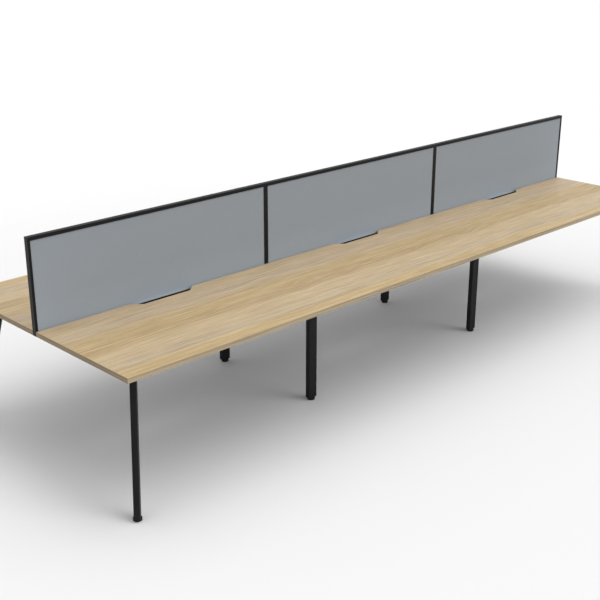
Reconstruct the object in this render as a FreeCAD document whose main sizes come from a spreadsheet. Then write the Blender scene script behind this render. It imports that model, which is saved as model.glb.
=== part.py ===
import FreeCAD, Part
import os
import re
import Sketcher
from FreeCAD import Placement, Rotation, Vector

# A bench desk for six people: two rows of three tops back to back, three low fabric screens standing in the
# gap between the rows, and one steel frame under them. X runs along the desk, -Y is the front row's side and
# Z is up. The origin is on the floor under the desk's centre. All sizes are in millimetres.

SIZES = {
    # Whole desk
    "bay_length": 1500,
    "desk_depth": 1520,
    "desk_height": 730,
    "overall_height": 1200,
    "row_gap": 32,
    # Desk tops and their edge bands
    "top_thickness": 25,
    "top_joint": 0.4,
    "band_thickness": 2,
    "band_chamfer": 0.6,
    "scallop_mouth": 412,
    "scallop_floor": 297,
    "scallop_depth": 48,
    # Screens: frame profiles, core board, fabric and corner keys
    "screen_thickness": 28,
    "stile_width": 14,
    "top_rail_height": 18,
    "bottom_rail_height": 7,
    "profile_wall": 2,
    "groove_depth": 4,
    "groove_clearance": 0.2,
    "panel_play": 0.5,
    "board_thickness": 18,
    "fabric_thickness": 1.5,
    "key_length": 40,
    "key_thickness": 3,
    "key_clearance": 0.2,
    # Beams and rails under the tops
    "beam_width": 60,
    "beam_height": 40,
    "beam_overhang": 72,
    "rail_width": 30,
    "tube_wall": 2,
    "tube_corner": 3,
    "cap_thickness": 3,
    "cap_plug_length": 12,
    "cap_clearance": 0.2,
    "end_plate_thickness": 5,
    "end_plate_width": 86,
    "rail_bolt_gap": 58,
    # Screw tabs on the beams and rails
    "tab_length": 30,
    "tab_reach": 22,
    "tab_thickness": 4,
    "rail_tab_inset": 250,
    "beam_tab_offset": 520,
    # Legs
    "leg_wide": 60,
    "leg_deep": 30,
    "leg_plate_width": 70,
    "leg_plate_thickness": 6,
    "leg_plate_margin": 12,
    "end_leg_bolt_gap": 92,
    "mid_leg_bolt_gap": 64,
    "mid_leg_offset": 379,
    "foot_inset_end": 31,
    "foot_inset_side": 34,
    "splay_along_share": 0.166,
    "splay_across_share": 0.192,
    # Levelling feet and the plugs that they screw into
    "foot_diameter": 44,
    "foot_height": 16,
    "foot_chamfer": 3,
    "stem_diameter": 10,
    "stem_length": 32,
    "stem_clearance": 0.3,
    "plug_height": 24,
    # Saddle plates that carry the screens
    "saddle_place_share": 0.32,
    "saddle_length": 60,
    "saddle_reach": 75,
    "saddle_thickness": 4,
    "saddle_screw_gap": 36,
    "saddle_wood_offset": 55,
    # Frame bolts and their thread inserts
    "bolt_diameter": 8,
    "bolt_length": 18,
    "bolt_head_diameter": 14,
    "bolt_head_height": 5,
    "bolt_socket": 5,
    "bolt_socket_depth": 3,
    "bolt_clearance": 0.5,
    "thread_clearance": 0.15,
    "insert_diameter": 11,
    "insert_length": 15,
    "insert_collar": 13,
    "insert_collar_length": 4,
    "insert_clearance": 0.15,
    # Wood screws into the tops and machine screws into the screens
    "wood_screw_diameter": 4.5,
    "wood_screw_length": 16,
    "wood_screw_tip": 4,
    "wood_head_diameter": 9,
    "wood_head_height": 2.5,
    "wood_recess_width": 1.4,
    "wood_recess_length": 4.6,
    "wood_recess_depth": 1.3,
    "pilot_depth": 14,
    "pilot_clearance": 0.15,
    "screen_screw_diameter": 5,
    "screen_screw_length": 6,
    "screen_head_diameter": 9,
    "screen_head_height": 3,
    "screen_socket": 3,
    "screen_socket_depth": 1.8,
    "screw_clearance": 0.35,
}

ROWS = {"front": -1, "back": 1}
BAYS = {"left": -1, "mid": 0, "right": 1}
ENDS = {"left": -1, "right": 1}

# Places worked out from the sizes, written as expressions for the spreadsheet
BOUNDARY_X = "(bay_length / 2)"
END_X = "(3 * bay_length / 2)"
TOP_UNDERSIDE = "(desk_height - top_thickness)"
BEAM_UNDERSIDE = "(desk_height - top_thickness - beam_height)"
LEG_LENGTH = f"({BEAM_UNDERSIDE} - leg_plate_thickness - foot_height)"
END_FOOT_X = f"({END_X} - foot_inset_end)"
END_FOOT_Y = "(desk_depth / 2 - foot_inset_side)"
END_BEAM_X = f"({END_FOOT_X} - splay_along_share * {LEG_LENGTH})"
END_LEG_TOP_Y = f"({END_FOOT_Y} - splay_across_share * {LEG_LENGTH})"
BEAM_TUBE_HALF = f"({END_LEG_TOP_Y} + beam_overhang - cap_thickness)"
SCREEN_HEIGHT = f"(overall_height - {TOP_UNDERSIDE})"
PANEL_THICKNESS = "(board_thickness + 2 * fabric_thickness)"
PANEL_LENGTH = "(bay_length - 2 * (stile_width - groove_depth) - 2 * panel_play)"
PANEL_HEIGHT = (f"({SCREEN_HEIGHT} - top_rail_height - bottom_rail_height + 2 * groove_depth"
                " - 2 * panel_play)")
BOTTOM_WEB = "(bottom_rail_height - groove_depth)"
PANEL_BASE = f"({TOP_UNDERSIDE} + {BOTTOM_WEB})"
END_PLATE_Z = "(beam_height / 2)"

BEAMS = {
    "end_left": f"(-{END_BEAM_X})",
    "mid_left": f"(-{BOUNDARY_X})",
    "mid_right": BOUNDARY_X,
    "end_right": END_BEAM_X,
}
BAY_BEAMS = {"left": ("end_left", "mid_left"), "mid": ("mid_left", "mid_right"), "right": ("mid_right", "end_right")}

doc = FreeCAD.newDocument("bench_desk")
sheet = doc.addObject("Spreadsheet::Sheet", "Sizes")
for row, (alias, number) in enumerate(SIZES.items(), start=1):
    sheet.set(f"A{row}", alias)
    sheet.set(f"B{row}", str(number))
    sheet.setAlias(f"B{row}", alias)
doc.recompute()

nodes = []


def bind(text):
    """Point each size named in the text at its cell."""
    return re.sub(r"[a-z_]+", lambda word: f"Sizes.{word[0]}" if word[0] in SIZES else word[0], str(text))


def value(text):
    """The present number of an expression of sizes."""
    return float(sheet.evalExpression(bind(text)))


def new_body(name, is_node=True):
    body = doc.addObject("PartDesign::Body", name)
    body.Label = name
    if is_node:
        nodes.append(body)
    return body


def place(body, x=0, y=0, z=0):
    """Tie a sub-part's place to expressions of the sizes."""
    for axis, text in zip("xyz", (x, y, z)):
        body.setExpression(f"Placement.Base.{axis}", bind(text))


def new_sketch(body, role, offset=(0, 0, 0), turn=0):
    """A sketch flat on one of the body's own origin planes, moved and turned in that plane's axes."""
    sketch = body.newObject("Sketcher::SketchObject", f"{body.Name}_sketch")
    plane = [item for item in body.Origin.OriginFeatures if item.Role == role][0]
    sketch.AttachmentSupport = [(plane, "")]
    sketch.MapMode = "FlatFace"
    for axis, text in zip("xyz", offset):
        sketch.setExpression(f"AttachmentOffset.Base.{axis}", bind(text))
    sketch.setExpression("AttachmentOffset.Rotation.Angle", bind(turn))
    return sketch


def fix_point(sketch, line, end, x, y):
    """Hold one end of a line at a place given by two expressions."""
    for kind, text in (("DistanceX", x), ("DistanceY", y)):
        index = sketch.addConstraint(Sketcher.Constraint(kind, -1, 1, line, end, value(text)))
        name = f"p{index}"
        sketch.renameConstraint(index, name)
        sketch.setExpression(f"Constraints.{name}", bind(text))


def outline(sketch, points):
    """A closed outline of straight lines through points given as expressions."""
    first = sketch.GeometryCount
    corners = [Vector(value(x), value(y), 0) for x, y in points]
    count = len(corners)
    for index in range(count):
        sketch.addGeometry(Part.LineSegment(corners[index], corners[(index + 1) % count]))
    for index in range(count):
        sketch.addConstraint(Sketcher.Constraint("Coincident", first + index, 2, first + (index + 1) % count, 1))
    for index, (x, y) in enumerate(points):
        fix_point(sketch, first + index, 1, x, y)


def rectangle(sketch, width, height, x=0, y=0):
    """A rectangle of the given width and height about a centre."""
    outline(sketch, [(f"{x} + {i} * ({width}) / 2", f"{y} + {j} * ({height}) / 2")
                     for i, j in ((-1, -1), (1, -1), (1, 1), (-1, 1))])


def rounded_rectangle(sketch, width, height, corner, x=0, y=0):
    """A rectangle about a centre whose corners are arcs."""
    first = sketch.GeometryCount
    sides = []
    for (i, j), (k, l) in (((-1, -1), (1, -1)), ((1, -1), (1, 1)), ((1, 1), (-1, 1)), ((-1, 1), (-1, -1))):
        along_x = i != k
        trim_x = f" - {corner}" if along_x else ""
        trim_y = "" if along_x else f" - {corner}"
        start = (f"{x} + {i} * (({width}) / 2{trim_x})", f"{y} + {j} * (({height}) / 2{trim_y})")
        end = (f"{x} + {k} * (({width}) / 2{trim_x})", f"{y} + {l} * (({height}) / 2{trim_y})")
        sides.append((start, end))
    for start, end in sides:
        sketch.addGeometry(Part.LineSegment(Vector(value(start[0]), value(start[1]), 0),
                                            Vector(value(end[0]), value(end[1]), 0)))
    radius = value(corner)
    turns = (-90, 0, 90, 180)
    for index, (i, j) in enumerate(((1, -1), (1, 1), (-1, 1), (-1, -1))):
        centre = Vector(value(f"{x} + {i} * (({width}) / 2 - {corner})"),
                        value(f"{y} + {j} * (({height}) / 2 - {corner})"), 0)
        circle = Part.Circle(centre, Vector(0, 0, 1), radius)
        start_angle = FreeCAD.Units.Quantity(f"{turns[index]} deg").getValueAs("rad").Value
        quarter = FreeCAD.Units.Quantity("90 deg").getValueAs("rad").Value
        sketch.addGeometry(Part.ArcOfCircle(circle, start_angle, start_angle + quarter))
    for index, (start, end) in enumerate(sides):
        fix_point(sketch, first + index, 1, *start)
        fix_point(sketch, first + index, 2, *end)
    for index in range(4):
        arc = first + 4 + index
        sketch.addConstraint(Sketcher.Constraint("Tangent", first + index, 2, arc, 1))
        sketch.addConstraint(Sketcher.Constraint("Coincident", arc, 2, first + (index + 1) % 4, 1))


def round_hole(sketch, x, y, diameter):
    """A circle at a place given by two expressions."""
    circle = Part.Circle(Vector(value(x), value(y), 0), Vector(0, 0, 1), value(diameter) / 2)
    index = sketch.addGeometry(circle)
    fix_point(sketch, index, 3, x, y)
    constraint = sketch.addConstraint(Sketcher.Constraint("Diameter", index, value(diameter)))
    sketch.renameConstraint(constraint, f"p{constraint}")
    sketch.setExpression(f"Constraints.p{constraint}", bind(diameter))


def pad(body, sketch, length, symmetric=False, reverse=False, lean=None):
    """Raise a sketch by a length, on one side or both, or along a leaning line."""
    feature = body.newObject("PartDesign::Pad", f"{body.Name}_pad")
    feature.Profile = sketch
    feature.setExpression("Length", bind(length))
    feature.SideType = "Symmetric" if symmetric else "One side"
    feature.Reversed = reverse
    if lean:
        feature.UseCustomVector = True
        feature.AlongSketchNormal = True
        for axis, text in zip("xyz", lean):
            feature.setExpression(f"Direction.{axis}", bind(text))
    sketch.Visibility = False
    return feature


def pocket(body, sketch, depth=None, symmetric=False, reverse=False):
    """Cut a sketch into the solid, by a depth or right through."""
    feature = body.newObject("PartDesign::Pocket", f"{body.Name}_pocket")
    feature.Profile = sketch
    feature.SideType = "Symmetric" if symmetric else "One side"
    if depth is None:
        feature.Type = "ThroughAll"
    else:
        feature.setExpression("Length", bind(depth))
    feature.Reversed = reverse
    sketch.Visibility = False
    return feature


def revolve(body, sketch):
    """Turn a half profile right round the Z axis."""
    feature = body.newObject("PartDesign::Revolution", f"{body.Name}_turn")
    feature.Profile = sketch
    feature.ReferenceAxis = (sketch, ["V_Axis"])
    feature.Angle = 360
    sketch.Visibility = False
    return feature


def group(name, members):
    """One node that holds several separate solids."""
    compound = doc.addObject("Part::Compound", name)
    compound.Label = name
    compound.Links = members
    nodes.append(compound)
    return compound


def copies(name, pattern, places):
    """One node of identical small parts: the pattern's shape at each place and turn."""
    doc.recompute()
    solids = []
    for (x, y, z), turn in places:
        solid = pattern.Shape.copy()
        solid.Placement = Placement(Vector(value(x), value(y), value(z)), turn)
        solids.append(solid)
    feature = doc.addObject("Part::Feature", name)
    feature.Label = name
    feature.Shape = Part.makeCompound(solids)
    feature.Placement = Placement()
    nodes.append(feature)
    return feature


UP = Rotation()
DOWN = Rotation(Vector(1, 0, 0), 180)
TOWARDS_LEFT = Rotation(Vector(0, 1, 0), -90)
TOWARDS_RIGHT = Rotation(Vector(0, 1, 0), 90)


def beam_centre(row_bay):
    """The X of the middle of a bay's rails, half way between its two beams."""
    first, last = BAY_BEAMS[row_bay]
    return f"(({BEAMS[first]} + {BEAMS[last]}) / 2)"


def rail_span(bay):
    """The clear length between the beams of a bay."""
    first, last = BAY_BEAMS[bay]
    return f"({BEAMS[last]} - {BEAMS[first]} - beam_width)"


# Every wood screw that goes up into a top, as X and Y of the whole desk
def rail_screws(row, bay):
    side = ROWS[row]
    for i in (-1, 1):
        for j in (-1, 1):
            yield (f"{beam_centre(bay)} + {i} * ({rail_span(bay)} / 2 - rail_tab_inset)",
                   f"{side} * (mid_leg_offset + {j} * (rail_width + tab_reach) / 2)")


def beam_screws(row, bay):
    side = ROWS[row]
    for beam, towards in zip(BAY_BEAMS[bay], (1, -1)):
        yield (f"{BEAMS[beam]} + {towards} * (beam_width + tab_reach) / 2", f"{side} * beam_tab_offset")


def saddle_centres(bay):
    for i in (-1, 1):
        yield f"({BAYS[bay]} * bay_length + {i} * saddle_place_share * bay_length)"


def saddle_screws(row, bay):
    side = ROWS[row]
    for centre in saddle_centres(bay):
        for i in (-1, 1):
            yield (f"{centre} + {i} * saddle_screw_gap / 2", f"{side} * saddle_wood_offset")


# Desk tops: one board a bay and row, with a cable scallop in the rear edge and blind pilot holes below
def make_top(row, bay):
    side = ROWS[row]
    place_in_row = BAYS[bay]
    body = new_body(f"top_{row}_{bay}")
    left = "-bay_length / 2 + " + ("band_thickness" if place_in_row == -1 else "top_joint / 2")
    right = "bay_length / 2 - " + ("band_thickness" if place_in_row == 1 else "top_joint / 2")
    rear = f"{side} * row_gap / 2"
    notch = f"{side} * (row_gap / 2 + scallop_depth)"
    outer = f"{side} * (desk_depth / 2 - band_thickness)"
    board = new_sketch(body, "XY_Plane")
    outline(board, [(left, outer), (right, outer), (right, rear), ("scallop_mouth / 2", rear),
                    ("scallop_floor / 2", notch), ("-scallop_floor / 2", notch),
                    ("-scallop_mouth / 2", rear), (left, rear)])
    pad(body, board, "top_thickness")
    holes = new_sketch(body, "XY_Plane")
    for x, y in (*rail_screws(row, bay), *beam_screws(row, bay), *saddle_screws(row, bay)):
        round_hole(holes, f"{x} - {place_in_row} * bay_length", y, "wood_screw_diameter + 2 * pilot_clearance")
    pocket(body, holes, "pilot_depth", reverse=True)
    place(body, f"{place_in_row} * bay_length", 0, TOP_UNDERSIDE)


# Edge bands: thin strips with eased arrises on the long outer edges and on the desk's two ends
def band_section(sketch, turned):
    half = "(band_thickness / 2)"
    points = [(f"-{half}", 0), (f"{half} - band_chamfer", 0), (half, "band_chamfer"),
              (half, "top_thickness - band_chamfer"), (f"{half} - band_chamfer", "top_thickness"),
              (f"-{half}", "top_thickness")]
    outline(sketch, [(f"{turned} * ({x})", y) for x, y in points])


def make_bands():
    strips = []
    for row, side in ROWS.items():
        for bay, place_in_row in BAYS.items():
            strip = new_body(f"band_{row}_{bay}", is_node=False)
            band_section(new_sketch(strip, "YZ_Plane"), side)
            joints = 2 if place_in_row == 0 else 1
            pad(strip, strip.Group[-1], f"bay_length - {joints} * top_joint / 2", symmetric=True)
            shift = f"{place_in_row} * (bay_length + top_joint / 4)"
            place(strip, shift, f"{side} * (desk_depth - band_thickness) / 2", TOP_UNDERSIDE)
            strips.append(strip)
        for end, hand in ENDS.items():
            strip = new_body(f"band_{row}_{end}_end", is_node=False)
            band_section(new_sketch(strip, "XZ_Plane"), hand)
            pad(strip, strip.Group[-1], "(desk_depth - row_gap) / 2 - band_thickness", symmetric=True)
            place(strip, f"{hand} * ({END_X} - band_thickness / 2)",
                  f"{side} * (desk_depth + row_gap - 2 * band_thickness) / 4", TOP_UNDERSIDE)
            strips.append(strip)
    group("edge_bands", strips)


# Screen frames: mitred profiles with a groove for the panel, hollow but for the low channel at the bottom
def profile_cuts(body, role, height, inner_edge, sign, is_hollow=True):
    """The panel groove and, if hollow, the closed chamber, cut right along from the plane of the section."""
    upright = role == "XY_Plane"
    groove = new_sketch(body, role)
    groove_width = f"({PANEL_THICKNESS} + 2 * groove_clearance)"
    groove_middle = f"{inner_edge} + {sign} * groove_depth / 2"
    if upright:
        rectangle(groove, "groove_depth", groove_width, groove_middle, 0)
    else:
        rectangle(groove, groove_width, "groove_depth", 0, groove_middle)
    pocket(body, groove, symmetric=True)
    if not is_hollow:
        return
    chamber = new_sketch(body, role)
    chamber_height = f"({height} - groove_depth - 2 * profile_wall)"
    chamber_middle = f"{inner_edge} + {sign} * (groove_depth + profile_wall + {chamber_height} / 2)"
    chamber_width = "(screen_thickness - 2 * profile_wall)"
    if upright:
        rectangle(chamber, chamber_height, chamber_width, chamber_middle, 0)
    else:
        rectangle(chamber, chamber_width, chamber_height, 0, chamber_middle)
    pocket(body, chamber, symmetric=True)


def make_screen_rail(bay, which):
    """A top or bottom rail, with its origin at the middle of the screen's lower or upper edge."""
    body = new_body(f"screen_{which}_rail_{bay}")
    height = f"{which}_rail_height"
    inward = -1 if which == "top" else 1
    half = "bay_length / 2"
    face = new_sketch(body, "XZ_Plane")
    outline(face, [(f"-{half}", 0), (half, 0), (f"{half} - stile_width", f"{inward} * {height}"),
                   (f"-{half} + stile_width", f"{inward} * {height}")])
    pad(body, face, "screen_thickness", symmetric=True)
    profile_cuts(body, "YZ_Plane", height, f"{inward} * {height}", -inward, is_hollow=(which == "top"))
    if which == "bottom":
        holes = new_sketch(body, "XY_Plane")
        for i in (-1, 1):
            for j in (-1, 1):
                round_hole(holes, f"{i} * saddle_place_share * bay_length + {j} * saddle_screw_gap / 2", "0",
                           "screen_screw_diameter + 2 * thread_clearance")
        pocket(body, holes, BOTTOM_WEB, reverse=True)
    base = "overall_height" if which == "top" else TOP_UNDERSIDE
    place(body, f"{BAYS[bay]} * bay_length", 0, base)


def make_stile(bay, end):
    """An upright of a screen frame, with its origin at the lower outer edge."""
    hand = ENDS[end]
    body = new_body(f"screen_{end}_stile_{bay}")
    face = new_sketch(body, "XZ_Plane")
    inner = f"-{hand} * stile_width"
    outline(face, [("0", "0"), (inner, "bottom_rail_height"), (inner, f"{SCREEN_HEIGHT} - top_rail_height"),
                   ("0", SCREEN_HEIGHT)])
    pad(body, face, "screen_thickness", symmetric=True)
    profile_cuts(body, "XY_Plane", "stile_width", inner, hand)
    place(body, f"{BAYS[bay]} * bay_length + {hand} * bay_length / 2", 0, TOP_UNDERSIDE)


def make_panel(bay):
    """The core board and the fabric sleeve that is stretched round it."""
    board = doc.addObject("Part::Box", f"screen_board_{bay}")
    board.Label = board.Name
    board.setExpression("Length", bind(f"{PANEL_LENGTH} - 2 * fabric_thickness"))
    board.setExpression("Width", bind("board_thickness"))
    board.setExpression("Height", bind(PANEL_HEIGHT))
    middle = f"{BAYS[bay]} * bay_length"
    place(board, f"{middle} - ({PANEL_LENGTH} - 2 * fabric_thickness) / 2", "-board_thickness / 2", PANEL_BASE)
    nodes.append(board)
    sleeve = new_body(f"screen_fabric_{bay}")
    section = new_sketch(sleeve, "XY_Plane")
    rectangle(section, PANEL_LENGTH, PANEL_THICKNESS)
    rectangle(section, f"{PANEL_LENGTH} - 2 * fabric_thickness", "board_thickness")
    pad(sleeve, section, PANEL_HEIGHT)
    place(sleeve, middle, 0, PANEL_BASE)


def make_corner_keys():
    """Flat L keys that join rail and stile inside the chambers, one in each upper corner of each frame."""
    keys = []
    for bay, place_in_row in BAYS.items():
        for end, hand in ENDS.items():
            key = new_body(f"key_{bay}_{end}", is_node=False)
            face = new_sketch(key, "XZ_Plane")
            corner = [("0", "0"), ("key_length", "0"), ("key_length", "key_thickness"),
                      ("key_thickness", "key_thickness"), ("key_thickness", "key_length"), ("0", "key_length")]
            outline(face, [(f"-{hand} * {x}", f"-{y}") for x, y in corner])
            pad(key, face, "screen_thickness - 2 * profile_wall - 2 * key_clearance", symmetric=True)
            place(key, f"{place_in_row} * bay_length + {hand} * (bay_length / 2 - profile_wall)", 0,
                  "overall_height - profile_wall")
            keys.append(key)
    group("screen_corner_keys", keys)


# Tubes of the frame
def tube_section(sketch, width, height):
    rounded_rectangle(sketch, width, height, "tube_corner")
    rectangle(sketch, f"{width} - 2 * tube_wall", f"{height} - 2 * tube_wall")


def add_tabs(body, places, reach_axis):
    """Weld flat screw tabs to the sides of a tube, level with its top, each with a hole for its screw."""
    tabs = new_sketch(body, "XY_Plane", (0, 0, "beam_height - tab_thickness"))
    for x, y, side in places:
        inner_half = "(tab_reach + tube_wall)"
        if reach_axis == "x":
            rectangle(tabs, inner_half, "tab_length", f"{x} - {side} * tube_wall / 2", y)
        else:
            rectangle(tabs, "tab_length", inner_half, x, f"{y} - {side} * tube_wall / 2")
        round_hole(tabs, x, y, "wood_screw_diameter + 2 * screw_clearance")
    pad(body, tabs, "tab_thickness")


def make_beam(name):
    """A cross beam: a level tube with tabs, and holes for the inserts that take the rails and the legs."""
    body = new_body(f"beam_{name}")
    is_end = name.startswith("end")
    section = new_sketch(body, "XZ_Plane", (0, "beam_height / 2", 0))
    tube_section(section, "beam_width", "beam_height")
    pad(body, section, f"2 * {BEAM_TUBE_HALF}", symmetric=True)
    inward = {"end_left": (1,), "end_right": (-1,)}.get(name, (-1, 1))
    add_tabs(body, [(f"{i} * (beam_width + tab_reach) / 2", f"{j} * beam_tab_offset", i)
                    for i in inward for j in (-1, 1)], "x")
    side_holes = new_sketch(body, "YZ_Plane")
    for j in (-1, 1):
        for k in (-1, 1):
            round_hole(side_holes, f"{j} * mid_leg_offset + {k} * rail_bolt_gap / 2", END_PLATE_Z,
                       "insert_diameter + 2 * insert_clearance")
    if is_end:
        pocket(body, side_holes, reverse=(inward[0] == 1))
    else:
        pocket(body, side_holes, symmetric=True)
    leg_holes = new_sketch(body, "XY_Plane")
    leg_y = END_LEG_TOP_Y if is_end else "mid_leg_offset"
    bolt_gap = "end_leg_bolt_gap" if is_end else "mid_leg_bolt_gap"
    for j in (-1, 1):
        for k in (-1, 1):
            round_hole(leg_holes, "0", f"{j} * {leg_y} + {k} * {bolt_gap} / 2",
                       "insert_diameter + 2 * insert_clearance")
    pocket(body, leg_holes, "beam_height / 2", reverse=True)
    place(body, BEAMS[name], 0, BEAM_UNDERSIDE)


def make_rail(row, bay):
    """A long rail: a tube with tabs, and a welded end plate at each end that bolts to the beam."""
    body = new_body(f"rail_{row}_{bay}")
    span = rail_span(bay)
    section = new_sketch(body, "YZ_Plane", (0, "beam_height / 2", 0))
    tube_section(section, "rail_width", "beam_height")
    pad(body, section, f"{span} - 2 * end_plate_thickness", symmetric=True)
    for i in (-1, 1):
        plate = new_sketch(body, "YZ_Plane", (0, 0, f"{i} * {span} / 2"))
        rectangle(plate, "end_plate_width", "beam_height", 0, END_PLATE_Z)
        for k in (-1, 1):
            round_hole(plate, f"{k} * rail_bolt_gap / 2", END_PLATE_Z, "bolt_diameter + 2 * bolt_clearance")
        pad(body, plate, "end_plate_thickness", reverse=(i == 1))
    add_tabs(body, [(f"{i} * ({span} / 2 - rail_tab_inset)", f"{j} * (rail_width + tab_reach) / 2", j)
                    for i in (-1, 1) for j in (-1, 1)], "y")
    place(body, beam_centre(bay), f"{ROWS[row]} * mid_leg_offset", BEAM_UNDERSIDE)


def make_beam_caps():
    """Plastic caps that close the beam ends: a rounded plate and a plug inside the tube."""
    cap = new_body("beam_cap_pattern", is_node=False)
    plate = new_sketch(cap, "XY_Plane")
    rounded_rectangle(plate, "beam_width", "beam_height", "tube_corner")
    pad(cap, plate, "cap_thickness")
    plug = new_sketch(cap, "XY_Plane")
    rectangle(plug, "beam_width - 2 * (tube_wall + cap_clearance)",
              "beam_height - 2 * (tube_wall + cap_clearance)")
    pad(cap, plug, "cap_plug_length", reverse=True)
    facing = {-1: Rotation(Vector(1, 0, 0), 90), 1: Rotation(Vector(1, 0, 0), -90)}
    copies("beam_end_caps", cap, [((x, f"{side} * {BEAM_TUBE_HALF}", f"{BEAM_UNDERSIDE} + beam_height / 2"),
                                   facing[side]) for x in BEAMS.values() for side in ROWS.values()])


# Legs: a tube and the flat plate welded on its top, which bolts under a beam
def leg_plate(body, x, y, bolt_gap):
    plate = new_sketch(body, "XY_Plane", (x, y, f"foot_height + {LEG_LENGTH}"))
    rectangle(plate, "leg_plate_width", f"{bolt_gap} + 2 * leg_plate_margin")
    for k in (-1, 1):
        round_hole(plate, "0", f"{k} * {bolt_gap} / 2", "bolt_diameter + 2 * bolt_clearance")
    pad(body, plate, "leg_plate_thickness")


def make_mid_leg(row, end):
    body = new_body(f"leg_mid_{row}_{end}")
    section = new_sketch(body, "XY_Plane", (0, 0, "foot_height"))
    tube_section(section, "leg_wide", "leg_deep")
    pad(body, section, LEG_LENGTH)
    leg_plate(body, 0, 0, "mid_leg_bolt_gap")
    place(body, f"{ENDS[end]} * {BOUNDARY_X}", f"{ROWS[row]} * mid_leg_offset", 0)


# A splayed leg leans in towards the desk's middle as it rises. Its wide faces lie along the way it leans, and
# a level cut through it is longer that way than the tube is wide.
LEAN = "sqrt(splay_along_share ^ 2 + splay_across_share ^ 2)"
LEVEL_WIDE = f"(leg_wide * sqrt(1 + splay_along_share ^ 2 + splay_across_share ^ 2))"


def lean_of(row, end):
    return (f"-{ENDS[end]} * splay_along_share", f"-{ROWS[row]} * splay_across_share", "1")


def lean_turn(row, end):
    along, across, _ = lean_of(row, end)
    return f"atan2({across}; {along})"


def make_end_leg(row, end):
    body = new_body(f"leg_end_{row}_{end}")
    lean = lean_of(row, end)
    section = new_sketch(body, "XY_Plane", (0, 0, "foot_height"), lean_turn(row, end))
    rounded_rectangle(section, LEVEL_WIDE, "leg_deep", "tube_corner")
    rectangle(section, f"{LEVEL_WIDE} - 2 * tube_wall", "leg_deep - 2 * tube_wall")
    pad(body, section, LEG_LENGTH, lean=lean)
    leg_plate(body, f"{lean[0]} * {LEG_LENGTH}", f"{lean[1]} * {LEG_LENGTH}", "end_leg_bolt_gap")
    place(body, f"{ENDS[end]} * {END_FOOT_X}", f"{ROWS[row]} * {END_FOOT_Y}", 0)


# Threaded plugs, one in the foot of each leg, bored upright for the stem of its levelling foot
def make_plug(name, x, y, wide, lean, turn):
    plug = new_body(name, is_node=False)
    section = new_sketch(plug, "XY_Plane", (0, 0, "foot_height"), turn)
    rectangle(section, f"{wide} - 2 * tube_wall", "leg_deep - 2 * tube_wall")
    pad(plug, section, "plug_height", lean=lean)
    bore = new_sketch(plug, "XY_Plane")
    round_hole(bore, "0", "0", "stem_diameter + 2 * stem_clearance")
    pocket(plug, bore, "foot_height + plug_height", reverse=True)
    place(plug, x, y, 0)
    return plug


def make_plugs():
    upright = [make_plug(f"plug_mid_{row}_{end}", f"{ENDS[end]} * {BOUNDARY_X}", f"{ROWS[row]} * mid_leg_offset",
                         "leg_wide", None, 0) for row in ROWS for end in ENDS]
    leaning = [make_plug(f"plug_end_{row}_{end}", f"{ENDS[end]} * {END_FOOT_X}", f"{ROWS[row]} * {END_FOOT_Y}",
                         LEVEL_WIDE, lean_of(row, end), lean_turn(row, end)) for row in ROWS for end in ENDS]
    group("mid_leg_plugs", upright)
    group("end_leg_plugs", leaning)


def make_foot(name, x, y):
    """A levelling foot: a round pad with an eased edge and the threaded stem moulded into it."""
    body = new_body(name)
    half = new_sketch(body, "XZ_Plane")
    edge = "foot_diameter / 2"
    outline(half, [("0", "0"), (f"{edge} - foot_chamfer / 3", "0"), (edge, "foot_chamfer / 3"),
                   (edge, "foot_height - foot_chamfer"), (f"{edge} - foot_chamfer", "foot_height"),
                   ("stem_diameter / 2", "foot_height"), ("stem_diameter / 2", "foot_height + stem_length"),
                   ("0", "foot_height + stem_length")])
    revolve(body, half)
    place(body, x, y, 0)


# Saddle plates: flat plates across the gap that carry the screens and are screwed up into both rows
def make_saddles():
    saddle = new_body("saddle_pattern", is_node=False)
    plate = new_sketch(saddle, "XY_Plane")
    rectangle(plate, "saddle_length", "2 * saddle_reach")
    for i in (-1, 1):
        x = f"{i} * saddle_screw_gap / 2"
        round_hole(plate, x, "0", "screen_screw_diameter + 2 * screw_clearance")
        for j in (-1, 1):
            round_hole(plate, x, f"{j} * saddle_wood_offset", "wood_screw_diameter + 2 * screw_clearance")
    pad(saddle, plate, "saddle_thickness")
    copies("screen_saddles", saddle, [((x, "0", f"{TOP_UNDERSIDE} - saddle_thickness"), UP)
                                      for bay in BAYS for x in saddle_centres(bay)])


# Fasteners: each pattern has the seat of its head at Z 0 and points up
def turned_part(name, points):
    body = new_body(name, is_node=False)
    half = new_sketch(body, "XZ_Plane")
    outline(half, points)
    revolve(body, half)
    return body


def hex_socket(body, bottom, across_flats, depth):
    """Cut a six-sided key socket up into the bottom of a head."""
    socket = new_sketch(body, "XY_Plane", (0, 0, bottom))
    outline(socket, [(f"{across_flats} / sqrt(3) * cos({60 * turn})", f"{across_flats} / sqrt(3) * sin({60 * turn})")
                     for turn in range(6)])
    pocket(body, socket, depth, reverse=True)


def cross_recess(body, bottom, width, length, depth):
    """Cut a cross recess up into the bottom of a head."""
    recess = new_sketch(body, "XY_Plane", (0, 0, bottom))
    near, far = f"{width} / 2", f"{length} / 2"
    corners = ((near, far), (near, near), (far, near))
    points = []
    for i, j, order in ((1, 1, 1), (1, -1, -1), (-1, -1, 1), (-1, 1, -1)):
        points += [(f"{i} * {x}", f"{j} * {y}") for x, y in corners[::order]]
    outline(recess, points)
    pocket(body, recess, depth, reverse=True)


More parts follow.
